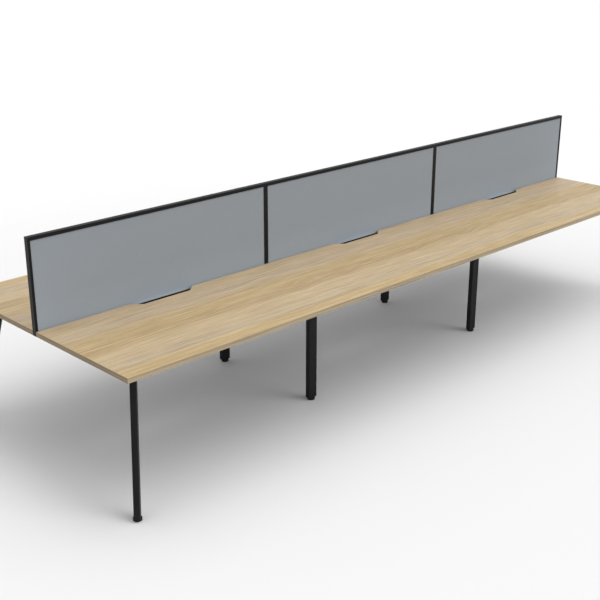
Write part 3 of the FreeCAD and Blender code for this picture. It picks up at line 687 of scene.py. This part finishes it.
def place_in_scene(name: str, data: bpy.types.ID) -> bpy.types.Object:
    """Add an object to the scene.

    Args:
        name: its name.
        data: its mesh, light or lens.

    Returns:
        The new object.
    """
    placed = bpy.data.objects.new(name, data)
    bpy.context.scene.collection.objects.link(placed)
    return placed


@dataclass
class SubAssembly:
    """What the sub-assemblies share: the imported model, the finishes and the call that dresses a CAD node."""

    nodes: dict[str, bpy.types.Object]
    finishes: Finishes

    def dress(self, name: str, material: Material) -> None:
        """Give a CAD node its finish.

        Args:
            name: the node's name.
            material: its material.
        """
        piece = self.nodes[name]
        if not piece.material_slots:
            piece.data.materials.append(material)
        for slot in piece.material_slots:
            slot.material = material
        log.info("dressed %s in %s", name, material.name)

    def add(self, name: str, mesh: bpy.types.Mesh, material: Material, slot: str,
            body: str) -> bpy.types.Object:
        """Add a piece that Blender makes.

        Args:
            name: the piece's name.
            mesh: its mesh, in the desk's frame.
            material: its material.
            slot: the record's material slot that it belongs to; it is not used.
            body: the body that it rides on.

        Returns:
            The new object.
        """
        mesh.materials.append(material)
        piece = place_in_scene(name, mesh)
        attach(piece, body)
        log.info("made %s with %d faces", name, len(mesh.polygons))
        return piece


def skin(rings: Sequence[Sequence[Point]], closed_round: bool = True, cap_ends: bool = False) -> Shape:
    """A surface through rings of points.

    Args:
        rings: the rings, each with as many points as the next.
        closed_round: whether each ring's last point joins its first.
        cap_ends: whether the first and last rings are filled.

    Returns:
        The surface, as a BMesh that the caller frees.
    """
    shape = bmesh.new()
    grid = [[shape.verts.new(point) for point in ring] for ring in rings]
    count = len(grid[0])
    for low, high in zip(grid, grid[1:]):
        for i in range(count if closed_round else count - 1):
            j = (i + 1) % count
            shape.faces.new((low[i], low[j], high[j], high[i]))
    if cap_ends:
        shape.faces.new(list(reversed(grid[0])))
        shape.faces.new(grid[-1])
    return shape


def mesh_of(shape: Shape, name: str) -> bpy.types.Mesh:
    """Turn a BMesh into a smooth-shaded mesh with sharp corners kept.

    Args:
        shape: the BMesh, which is freed.
        name: the mesh's name.

    Returns:
        The mesh.
    """
    bmesh.ops.recalc_face_normals(shape, faces=shape.faces)
    for face in shape.faces:
        face.smooth = True
    for edge in shape.edges:
        edge.smooth = len(edge.link_faces) != 2 or edge.calc_face_angle(0.0) < SHARP_EDGE
    mesh = bpy.data.meshes.new(name)
    shape.to_mesh(mesh)
    shape.free()
    return mesh


def join(shapes: Iterable[Shape]) -> Shape:
    """Gather several BMeshes into one.

    Args:
        shapes: the BMeshes, which are freed.

    Returns:
        One BMesh that holds them all.
    """
    whole = bmesh.new()
    for shape in shapes:
        part = bpy.data.meshes.new("part")
        shape.to_mesh(part)
        shape.free()
        whole.from_mesh(part)
        bpy.data.meshes.remove(part)
    return whole


def circle(steps: int) -> list[float]:
    """The angles of even steps round a circle."""
    return [2 * math.pi * i / steps for i in range(steps)]


def even_steps(corners: Sequence[Vector], step: float, closed: bool) -> list[Vector]:
    """Points at even steps along a line of corners.

    Args:
        corners: the line's corners.
        step: the wished distance between points, in metres.
        closed: whether the line comes back to its start.

    Returns:
        The points.
    """
    line = list(corners) + ([corners[0]] if closed else [])
    lengths = [(b - a).length for a, b in zip(line, line[1:])]
    whole = sum(lengths)
    count = max(2, round(whole / step))
    points: list[Vector] = []
    for i in range(count if closed else count + 1):
        left = whole * i / count
        for a, b, length in zip(line, line[1:], lengths):
            if left <= length or b is line[-1]:
                points.append(a.lerp(b, min(1.0, left / max(length, TINY))))
                break
            left -= length
    return points


@dataclass
class Worktops(SubAssembly):
    """The six tops and the bands on their outer edges."""

    laminate: OakLaminate = OakLaminate()

    def build(self) -> None:
        """Dress the tops in laminate, and the bands in the matching edging."""
        for row in Row:
            laminate = self.laminate.material(row)
            for bay in Bay:
                self.dress(f"top_{words(row, bay)}", laminate)
        self.dress("edge_bands", self.finishes.edging)


@dataclass
class Screens(SubAssembly):
    """The three screens: black frames, core boards, keys and the cloth stretched round each board."""

    bay_length: float = 1.5
    cloth_length: float = 1.479
    cloth_depth: float = 0.021
    cloth_height: float = 0.477
    cloth_base: float = 0.708
    cloth_thickness: float = 0.0013
    fold_radius: float = 0.0022
    fold_steps: int = 12
    step: float = 0.012
    pull: float = 0.00025
    even_pull: float = 1.5
    long_wave: float = 9.0
    short_wave: float = 23.0
    short_share: float = 0.5
    lean: float = 5.0

    def outline(self) -> list[tuple[float, float, int]]:
        """The sleeve's outer line seen from above, round its centre.

        Each end has two folds with a flat between them, so the step at the middle of the turn is left out.

        Returns:
            Each point's X and Y, and the side that it lies on: -1 in front, 1 behind and 0 at an end.
        """
        radius = self.fold_radius
        run, half_y = self.cloth_length / 2 - radius, self.cloth_depth / 2
        spans = round(2 * run / self.step)
        line: list[tuple[float, float, int]] = []
        for side in (-1, 1):
            line += [(side * run * (1 - 2 * i / spans), side * half_y, side) for i in range(spans + 1)]
            for i in range(1, self.fold_steps):
                turn = math.radians(180 / self.fold_steps * i - 90)
                reach = radius * math.cos(turn)
                lift = radius * math.sin(turn) + math.copysign(half_y - radius, turn)
                if 2 * i != self.fold_steps:
                    line.append((-side * (run + reach), -side * lift, 0))
        return line

    def sleeve(self, bay: Bay) -> Shape:
        """One screen's cloth, with the slight pull lines of a stretched weave.

        Args:
            bay: the screen's bay.

        Returns:
            The sleeve's outer surface.
        """
        middle, line = bay.value * self.bay_length, self.outline()
        rows = round(self.cloth_height / self.step)
        rings = []
        for j in range(rows + 1):
            up = j / rows
            ring = []
            for x, y, side in line:
                wave = self.short_share * math.sin(self.short_wave * x + self.lean * up)
                wave += math.sin(self.long_wave * x + bay.value)
                slack = self.pull * (self.even_pull + wave) * math.sin(math.pi * up)
                ring.append((middle + x, y - side * slack, self.cloth_base + self.cloth_height * up))
            rings.append(ring)
        return skin(rings)

    def build(self) -> None:
        """Dress the frames and boards, and stretch the cloth."""
        for bay in Bay:
            name = words(bay)
            for part in ("top_rail", "bottom_rail", "left_stile", "right_stile"):
                run = Run.ALONG if part.endswith("rail") else Run.UPRIGHT
                self.dress(f"screen_{part}_{name}", self.finishes.profile[run])
            self.dress(f"screen_board_{name}", self.finishes.board)
            mesh = mesh_of(self.sleeve(bay), f"screen_cloth_{name}")
            cloth = self.add(mesh.name, mesh, self.finishes.cloth, "grey_fabric", "desk")
            thick = cloth.modifiers.new("thickness", "SOLIDIFY")
            thick.thickness = self.cloth_thickness
            thick.offset = -1.0
            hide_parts(f"screen_fabric_{name}")
        self.dress("screen_corner_keys", self.finishes.zinc)
        self.dress("screen_saddles", self.finishes.coat)


@dataclass
class SteelFrame(SubAssembly):
    """The beams, rails and legs, and the weld beads that join tube to plate."""

    beam_underside: float = 0.665
    beam_height: float = 0.040
    plate_underside: float = 0.659
    splay: Pair = (0.166, 0.192)
    foot_height: float = 0.016
    leg_wide: float = 0.060
    leg_deep: float = 0.030
    corner: float = 0.003
    rail_width: float = 0.030
    rail_plate: float = 0.005
    beam_width: float = 0.060
    tab_length: float = 0.030
    tab_thickness: float = 0.004
    rail_tab_inset: float = 0.250
    beam_tab_offset: float = 0.520
    corner_steps: int = 3
    bead: float = 0.0022
    bead_swell: float = 3.0
    bead_end: float = 0.35
    bead_sides: int = 10
    bead_step: float = 0.0009
    steep: float = 0.9
    ripple: float = 0.0032
    ripple_share: float = 0.16
    rail_bead_gap: float = 0.004
    tab_bead_gap: float = 0.003

    def leg_top(self, kind: LegKind, row: Row, end: End) -> tuple[Vector, float, float]:
        """Where a leg's tube meets its plate.

        Args:
            kind: an end leg or a middle leg.
            row: its row.
            end: its end of the desk.

        Returns:
            The centre of the joint, the tube's wide size in a level cut, and the tube's turn about Z.
        """
        out_x, out_y = kind.value
        wide, turn = self.leg_wide, 0.0
        if kind is LegKind.END:
            lean_x, lean_y = self.splay
            rise = self.plate_underside - self.foot_height
            out_x, out_y = out_x - lean_x * rise, out_y - lean_y * rise
            wide *= math.sqrt(1 + lean_x ** 2 + lean_y ** 2)
            turn = math.atan2(-row.value * lean_y, -end.value * lean_x)
        return Vector((end.value * out_x, row.value * out_y, self.plate_underside)), wide, turn

    def round_tube(self, centre: Vector, wide: float, turn: float) -> list[Vector]:
        """Points round a tube's outer line, at even steps.

        Args:
            centre: the line's centre.
            wide: the tube's wide size.
            turn: the tube's turn about Z.

        Returns:
            The points, with the first not repeated.
        """
        half_x, half_y, radius = wide / 2, self.leg_deep / 2, self.corner
        corners: list[Vector] = []
        for i, j, start in ((1, -1, -90), (1, 1, 0), (-1, 1, 90), (-1, -1, 180)):
            for step in range(self.corner_steps + 1):
                angle = math.radians(start + 90 / self.corner_steps * step)
                corners.append(Vector((i * (half_x - radius) + radius * math.cos(angle),
                                       j * (half_y - radius) + radius * math.sin(angle), 0.0)))
        turned = Matrix.Rotation(turn, 3, "Z")
        return even_steps([centre + turned @ spot for spot in corners], self.bead_step, closed=True)

    def bead_along(self, line: Sequence[Vector], closed: bool) -> Shape:
        """A rippled weld bead along a line.

        Args:
            line: even points along the joint.
            closed: whether the line comes back to its start.

        Returns:
            The bead.
        """
        count = len(line)
        rings = []
        for i, spot in enumerate(line):
            ahead = line[(i + 1) % count] if closed or i + 1 < count else spot
            behind = line[i - 1] if closed or i else spot
            forward = (ahead - behind).normalized()
            is_steep = abs(forward.z) > self.steep
            side = Vector((0, 1, 0)) if is_steep else forward.cross(UP).normalized()
            up = side.cross(forward)
            wave = 0.5 + 0.5 * math.cos(2 * math.pi * i * (line[1] - line[0]).length / self.ripple)
            from_end = len(line) if closed else min(i, count - 1 - i)
            ease = min(1.0, self.bead_swell * from_end / count + self.bead_end)
            radius = self.bead * (1.0 - self.ripple_share + self.ripple_share * wave) * ease
            rings.append([tuple(spot + side * radius * math.cos(turn) + up * radius * math.sin(turn))
                          for turn in circle(self.bead_sides)])
        if closed:
            rings.append(rings[0])
        shape = skin(rings, cap_ends=not closed)
        bmesh.ops.remove_doubles(shape, verts=shape.verts, dist=1e-7)
        return shape

    def straight_bead(self, first: Vector, last: Vector) -> Shape:
        """A weld bead from one point to another."""
        return self.bead_along(even_steps([first, last], self.bead_step, closed=False), closed=False)

    def leg_beads(self) -> Iterable[Shape]:
        """The bead round the top of every leg."""
        for kind, row, end in product(LegKind, Row, End):
            yield self.bead_along(self.round_tube(*self.leg_top(kind, row, end)), closed=True)

    def beams(self) -> dict[str, float]:
        """Each beam's name and its X."""
        end = self.leg_top(LegKind.END, Row.BACK, End.RIGHT)[0].x
        mid = LegKind.MID.value[0]
        return {"end_left": -end, "mid_left": -mid, "mid_right": mid, "end_right": end}

    def rail_sides(self, inset: float) -> Iterable[Pair]:
        """The X and Y of places on both sides of every rail, near its two ends.

        Args:
            inset: how far the places lie from the beams' sides.

        Yields:
            The X and Y of one place.
        """
        beams = list(self.beams().values())
        for row, side in product(Row, (-1, 1)):
            y = row.value * LegKind.MID.value[1] + side * self.rail_width / 2
            for first, last in zip(beams, beams[1:]):
                yield first + self.beam_width / 2 + inset, y
                yield last - self.beam_width / 2 - inset, y

    def rail_beads(self) -> Iterable[Shape]:
        """The upright beads where each rail meets its two end plates."""
        rise = (self.beam_height - 2 * self.rail_bead_gap) * UP
        for x, y in self.rail_sides(self.rail_plate):
            low = Vector((x, y, self.beam_underside + self.rail_bead_gap))
            yield self.straight_bead(low, low + rise)

    def tab_beads(self) -> Iterable[Shape]:
        """The short beads under every screw tab on the rails and beams."""
        under = self.beam_underside + self.beam_height - self.tab_thickness
        half = self.tab_length / 2 - self.tab_bead_gap
        for x, y in self.rail_sides(self.rail_tab_inset):
            yield self.straight_bead(Vector((x - half, y, under)), Vector((x + half, y, under)))
        for row in Row:
            y = row.value * self.beam_tab_offset
            for name, beam in self.beams().items():
                for side in {"end_left": (1,), "end_right": (-1,)}.get(name, (-1, 1)):
                    x = beam + side * self.beam_width / 2
                    yield self.straight_bead(Vector((x, y - half, under)), Vector((x, y + half, under)))

    def build(self) -> None:
        """Dress the steel and lay the weld beads."""
        for name in self.beams():
            self.dress(f"beam_{name}", self.finishes.coat)
        for row, bay in product(Row, Bay):
            self.dress(f"rail_{words(row, bay)}", self.finishes.coat)
        for kind, row, end in product(LegKind, Row, End):
            self.dress(f"leg_{words(kind, row, end)}", self.finishes.coat)
        self.dress("beam_end_caps", self.finishes.plastic)
        for kind in LegKind:
            self.dress(f"{words(kind)}_leg_plugs", self.finishes.plastic)
        joints = {"leg": self.leg_beads(), "rail": self.rail_beads(), "tab": self.tab_beads()}
        for part, beads in joints.items():
            name = f"{part}_weld_beads"
            self.add(name, mesh_of(join(beads), name), self.finishes.coat, "black_steel", "desk")


@dataclass
class LevellingFeet(SubAssembly):
    """The eight levelling feet: a fluted round pad and a threaded stem.

    Each point of a rim is how far in from the pad's side and how far from its face it lies, and how much of
    the flutes' depth it has.
    """

    pad_radius: float = 0.022
    pad_height: float = 0.016
    flute: float = 0.0005
    flutes: int = 30
    stem_radius: float = 0.005
    stem_length: float = 0.032
    thread_pitch: float = 0.0015
    thread_depth: float = 0.0008
    rings_a_thread: int = 6
    round_steps: int = 120
    thread_steps: int = 36
    sunk: float = 0.0004
    plain: float = 0.001
    face_ring: float = 0.55
    lower_rim: tuple[Point, ...] = (
        (0.0022, 0.0, 0.0), (0.0010, 0.0002, 0.0), (0.0002, 0.0010, 0.2), (0.0, 0.0020, 0.5),
        (0.0, 0.0034, 1.0))
    upper_rim: tuple[Point, ...] = (
        (0.0, 0.0052, 1.0), (0.0, 0.0036, 0.5), (0.0004, 0.0024, 0.1), (0.0014, 0.0010, 0.0),
        (0.0030, 0.0002, 0.0), (0.0045, 0.0, 0.0))

    def ring(self, x: float, y: float, z: float, radii: dict[float, float]) -> list[Point]:
        """A level ring of points round X and Y, by the radius at each angle."""
        return [(x + radius * math.cos(turn), y + radius * math.sin(turn), z)
                for turn, radius in radii.items()]

    def pad(self, x: float, y: float) -> Shape:
        """The pad: flat under, eased at both rims, with grip flutes round its side.

        Args:
            x: the foot's X.
            y: the foot's Y.

        Returns:
            The pad.
        """
        side, top = self.pad_radius, self.pad_height
        profile = [(side * self.face_ring, 0.0, 0.0)]
        profile += [(side - inset, rise, share) for inset, rise, share in self.lower_rim]
        profile += [(side - inset, top - drop, share) for inset, drop, share in self.upper_rim]
        profile += [(self.stem_radius, top, 0.0)]
        cuts = {turn: self.flute * (0.5 - 0.5 * math.cos(self.flutes * turn))
                for turn in circle(self.round_steps)}
        rings = []
        for radius, z, share in profile:
            rings.append(self.ring(x, y, z, {turn: radius - share * cut for turn, cut in cuts.items()}))
        return skin(rings, cap_ends=True)

    def stem(self, x: float, y: float) -> Shape:
        """The stem, with a thread that winds up it.

        Args:
            x: the foot's X.
            y: the foot's Y.

        Returns:
            The stem.
        """
        low, high = self.pad_height - self.sunk, self.pad_height + self.stem_length
        rows = round((high - low) / self.thread_pitch * self.rings_a_thread)
        rings = []
        for i in range(rows + 1):
            z = low + (high - low) * i / rows
            from_pad = (z - self.pad_height - self.plain) / self.plain
            from_end = (high - z) / self.thread_pitch
            fade = min(1.0, max(0.0, from_pad), max(0.0, from_end))
            radii = {}
            for turn in circle(self.thread_steps):
                groove = abs(2 * ((z / self.thread_pitch - turn / (2 * math.pi)) % 1.0) - 1.0)
                radii[turn] = self.stem_radius - self.thread_depth * groove * fade
            rings.append(self.ring(x, y, z, radii))
        return skin(rings, cap_ends=True)

    def build(self) -> None:
        """Make every foot in the place of its CAD node."""
        for kind, row, end in product(LegKind, Row, End):
            place = words(kind, row, end)
            name = f"levelling_foot_{place}"
            x, y = end.value * kind.value[0], row.value * kind.value[1]
            mesh = mesh_of(join([self.pad(x, y), self.stem(x, y)]), name)
            foot = self.add(name, mesh, self.finishes.plastic, "black_plastic", f"{place}_foot")
            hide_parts(f"foot_{place}")


@dataclass
class Fasteners(SubAssembly):
    """The screws, bolts and thread inserts."""

    names: tuple[str, ...] = ("wood_screws", "frame_bolts", "screen_screws", "thread_inserts")

    def build(self) -> None:
        """Dress every group of fasteners in zinc plate."""
        for name in self.names:
            self.dress(name, self.finishes.zinc)


@dataclass(frozen=True)
class SoftSun:
    """One of the studio's broad lights, the same all over the floor.

    Its tilt is from straight above, and its bearing from +X towards +Y, both in degrees.
    """

    name: str
    strength: float
    spread: float
    tilt: float
    bearing: float

    def build(self) -> None:
        """Hang the light."""
        lamp = bpy.data.lights.new(self.name, "SUN")
        lamp.energy, lamp.angle = self.strength, math.radians(self.spread)
        hung = place_in_scene(self.name, lamp)
        hung.rotation_euler = (0.0, math.radians(self.tilt), math.radians(self.bearing))
        log.info("hung %s", self.name)


@dataclass
class Studio:
    """The pale floor, the soft light all round and the camera at the photograph's place.

    The camera's heading is from +X towards +Y and its dip is below level, both in degrees, as its roll is.
    """

    floor_reach: float = 160.0
    floor_tone: Colour = (0.747, 0.747, 0.747)
    far_tone: Colour = (0.785, 0.785, 0.785)
    cloud_tone: Colour = (0.70, 0.70, 0.70)
    cloud_share: float = 0.03
    clouding: float = 0.8
    far: Pair = (3.0, 5.5)
    sky: float = 0.715
    haze: float = 1.0
    haze_top: float = 0.12
    lights: tuple[SoftSun, ...] = (
        SoftSun("ceiling_of_diffusers", 0.832, 70.0, 15.0, 0.0),
        SoftSun("overhead_softbox", 0.377, 30.0, 12.0, 0.0),
        SoftSun("high_front_softbox", 0.405, 30.0, 30.0, -62.0),
        SoftSun("low_front_softbox", 0.559, 35.0, 60.0, -62.0),
    )
    camera_place: Point = (-4.57896, -4.19904, 2.60461)
    heading: float = 45.612
    dip: float = 20.306
    roll: float = 0.069
    lens: float = 62.55
    sensor: float = 36.0
    clip: Pair = (0.05, 400.0)

    def floor(self) -> None:
        """Lay the plain floor."""
        graph = Graph("pale_floor")
        x, y, _ = graph.place()
        cloud = graph.noise(graph.spot, self.clouding)
        out = graph.math("SQRT", graph.plus(graph.times(x, x), graph.times(y, y)))
        tone = graph.mix(graph.between(out, *self.far), self.floor_tone, self.far_tone)
        tone = graph.mix(graph.times(cloud, self.cloud_share), tone, self.cloud_tone)
        reach = self.floor_reach
        rings = [[(-reach, -reach, 0.0), (reach, -reach, 0.0)], [(-reach, reach, 0.0), (reach, reach, 0.0)]]
        mesh = mesh_of(skin(rings, closed_round=False), "studio_floor")
        mesh.materials.append(graph.surface(Base_Color=tone, Roughness=0.95, Shine=0.0))
        ground = place_in_scene("studio_floor", mesh)

    def sky_light(self) -> None:
        """Light the studio evenly from all round, with its walls as pale as the floor where the two meet."""
        world = bpy.data.worlds.new("studio_sky")
        world.use_nodes = True
        nodes, links = world.node_tree.nodes, world.node_tree.links
        background = nodes["Background"]
        background.inputs[0].default_value = (1.0, 1.0, 1.0, 1.0)
        parts, fade = nodes.new("ShaderNodeSeparateXYZ"), nodes.new("ShaderNodeMapRange")
        for place, number in ((1, self.haze_top), (2, 2 * self.haze_top), (3, self.haze), (4, self.sky)):
            fade.inputs[place].default_value = number
        links.new(nodes.new("ShaderNodeTexCoord").outputs["Generated"], parts.inputs[0])
        links.new(parts.outputs[2], fade.inputs[0])
        links.new(fade.outputs[0], background.inputs[1])
        bpy.context.scene.world = world

    def camera(self) -> None:
        """Set the camera where the photograph was taken from."""
        lens = bpy.data.cameras.new("camera")
        lens.sensor_width, lens.lens = self.sensor, self.lens
        lens.clip_start, lens.clip_end = self.clip
        seat = place_in_scene("camera", lens)
        seat.matrix_world = Matrix.Translation(self.camera_place)
        for degrees, axis in ((self.heading - 90.0, "Z"), (90.0 - self.dip, "X"), (self.roll, "Z")):
            seat.matrix_world @= Matrix.Rotation(math.radians(degrees), 4, axis)
        bpy.context.scene.camera = seat

    def build(self) -> None:
        """Set up the whole studio."""
        self.floor()
        self.sky_light()
        for light in self.lights:
            light.build()
        self.camera()
        bpy.context.scene.view_settings.view_transform = "Standard"


def main() -> None:
    """Load the desk, dress its sub-assemblies in order and set up the studio."""
    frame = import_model()
    Studio().build()
    finishes = Finishes()
    for kind in (Worktops, Screens, SteelFrame, LevellingFeet, Fasteners):
        kind(frame["nodes"], finishes).build()
        log.info("finished %s", kind.__name__)


if __name__ == "__main__":
    main()
